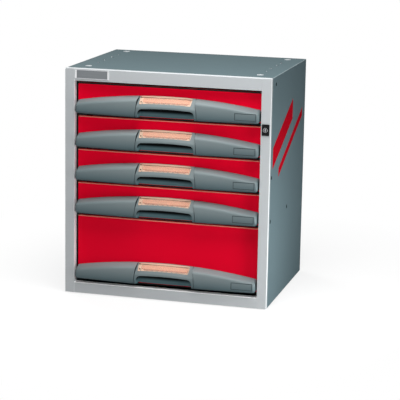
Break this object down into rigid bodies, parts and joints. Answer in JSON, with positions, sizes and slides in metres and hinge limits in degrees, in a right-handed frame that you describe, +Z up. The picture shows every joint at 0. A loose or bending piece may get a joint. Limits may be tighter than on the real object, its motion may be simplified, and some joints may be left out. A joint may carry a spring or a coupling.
{
  "type": "drawer unit",
  "caption": "Sheet-steel tool cabinet with full-width bowed handles on shallow drawers over one deep drawer, and a single lock.",
  "frame": {"origin": "on the floor under the middle of the overall box, with the drawers shut", "axes": "+X to the right of someone facing the drawers, +Y to the back, +Z up"},
  "size_m": [0.62, 0.49, 0.6814],
  "materials": {
    "frame_paint": "satin light grey powder coat",
    "casing_paint": "satin dark blue-grey powder coat",
    "front_paint": "satin red powder coat",
    "tray_paint": "satin grey powder coat",
    "handle_plastic": "fine-textured grey moulding",
    "label_clear": "clear tinted window",
    "label_card": "printed paper card without words",
    "zinc_steel": "zinc-plated sheet steel",
    "black_plastic": "black moulding",
    "lock_metal": "satin chrome",
    "badge_metal": "bare anodised plate",
    "plug_plastic": "light grey moulding"
  },
  "bodies": {
    "cabinet": {"back_panel": "casing_paint", "badge_plate": "badge_metal", "base_glides": "black_plastic", "base_panel": "casing_paint", "cabinet_runners": "zinc_steel", "frame_bottom_rail": "frame_paint", "frame_left_stile": "frame_paint", "frame_right_stile": "frame_paint", "frame_top_rail": "frame_paint", "left_side_panel": "casing_paint", "lock_bar_guides": "black_plastic", "lock_escutcheon": "black_plastic", "right_side_panel": "casing_paint", "runner_posts": "zinc_steel", "top_panel": "casing_paint", "top_plugs": "plug_plastic", "top_screws": "zinc_steel"},
    "lock_cylinder": {"lock_cylinder": "lock_metal", "lock_cam": "zinc_steel"},
    "lock_bar": {"lock_bar": "zinc_steel"},
    "drawer_1": {"drawer_1_front": "front_paint", "drawer_1_handle_grip": "handle_plastic", "drawer_1_handle_wings": "handle_plastic", "drawer_1_inner_runners": "zinc_steel", "drawer_1_label_card": "label_card", "drawer_1_label_holder": "label_clear", "drawer_1_tray": "tray_paint"},
    "runners_1": {"drawer_1_middle_runners": "zinc_steel"},
    "drawer_2": {"drawer_2_front": "front_paint", "drawer_2_handle_grip": "handle_plastic", "drawer_2_handle_wings": "handle_plastic", "drawer_2_inner_runners": "zinc_steel", "drawer_2_label_card": "label_card", "drawer_2_label_holder": "label_clear", "drawer_2_tray": "tray_paint"},
    "runners_2": {"drawer_2_middle_runners": "zinc_steel"},
    "drawer_3": {"drawer_3_front": "front_paint", "drawer_3_handle_grip": "handle_plastic", "drawer_3_handle_wings": "handle_plastic", "drawer_3_inner_runners": "zinc_steel", "drawer_3_label_card": "label_card", "drawer_3_label_holder": "label_clear", "drawer_3_tray": "tray_paint"},
    "runners_3": {"drawer_3_middle_runners": "zinc_steel"},
    "drawer_4": {"drawer_4_front": "front_paint", "drawer_4_handle_grip": "handle_plastic", "drawer_4_handle_wings": "handle_plastic", "drawer_4_inner_runners": "zinc_steel", "drawer_4_label_card": "label_card", "drawer_4_label_holder": "label_clear", "drawer_4_tray": "tray_paint"},
    "runners_4": {"drawer_4_middle_runners": "zinc_steel"},
    "drawer_5": {"drawer_5_front": "front_paint", "drawer_5_handle_grip": "handle_plastic", "drawer_5_handle_wings": "handle_plastic", "drawer_5_inner_runners": "zinc_steel", "drawer_5_label_card": "label_card", "drawer_5_label_holder": "label_clear", "drawer_5_tray": "tray_paint"},
    "runners_5": {"drawer_5_middle_runners": "zinc_steel"}
  },
  "joints": [
    {"name": "drawer_1_slide", "type": "slide", "parent": "cabinet", "child": "drawer_1", "axis": [0, -1, 0], "range_m": [0, 0.4]},
    {"name": "runners_1_slide", "type": "slide", "parent": "cabinet", "child": "runners_1", "axis": [0, -1, 0], "range_m": [0, 0.2]},
    {"name": "drawer_2_slide", "type": "slide", "parent": "cabinet", "child": "drawer_2", "axis": [0, -1, 0], "range_m": [0, 0.4]},
    {"name": "runners_2_slide", "type": "slide", "parent": "cabinet", "child": "runners_2", "axis": [0, -1, 0], "range_m": [0, 0.2]},
    {"name": "drawer_3_slide", "type": "slide", "parent": "cabinet", "child": "drawer_3", "axis": [0, -1, 0], "range_m": [0, 0.4]},
    {"name": "runners_3_slide", "type": "slide", "parent": "cabinet", "child": "runners_3", "axis": [0, -1, 0], "range_m": [0, 0.2]},
    {"name": "drawer_4_slide", "type": "slide", "parent": "cabinet", "child": "drawer_4", "axis": [0, -1, 0], "range_m": [0, 0.4]},
    {"name": "runners_4_slide", "type": "slide", "parent": "cabinet", "child": "runners_4", "axis": [0, -1, 0], "range_m": [0, 0.2]},
    {"name": "drawer_5_slide", "type": "slide", "parent": "cabinet", "child": "drawer_5", "axis": [0, -1, 0], "range_m": [0, 0.4]},
    {"name": "runners_5_slide", "type": "slide", "parent": "cabinet", "child": "runners_5", "axis": [0, -1, 0], "range_m": [0, 0.2]},
    {"name": "lock_turn", "type": "hinge", "parent": "cabinet", "child": "lock_cylinder", "pos_m": [0.29575, -0.235, 0.5325], "axis": [0, 1, 0], "range_deg": [0, 90]},
    {"name": "lock_bar_slide", "type": "slide", "parent": "cabinet", "child": "lock_bar", "axis": [0, 0, -1], "range_m": [0, 0.01131]}
  ],
  "couplings": [
    {"joint": "runners_1_slide", "follows": "drawer_1_slide", "ratio": 0.5},
    {"joint": "runners_2_slide", "follows": "drawer_2_slide", "ratio": 0.5},
    {"joint": "runners_3_slide", "follows": "drawer_3_slide", "ratio": 0.5},
    {"joint": "runners_4_slide", "follows": "drawer_4_slide", "ratio": 0.5},
    {"joint": "runners_5_slide", "follows": "drawer_5_slide", "ratio": 0.5},
    {"joint": "lock_turn", "follows": "lock_bar_slide", "rad_per_m": 138.84}
  ]
}
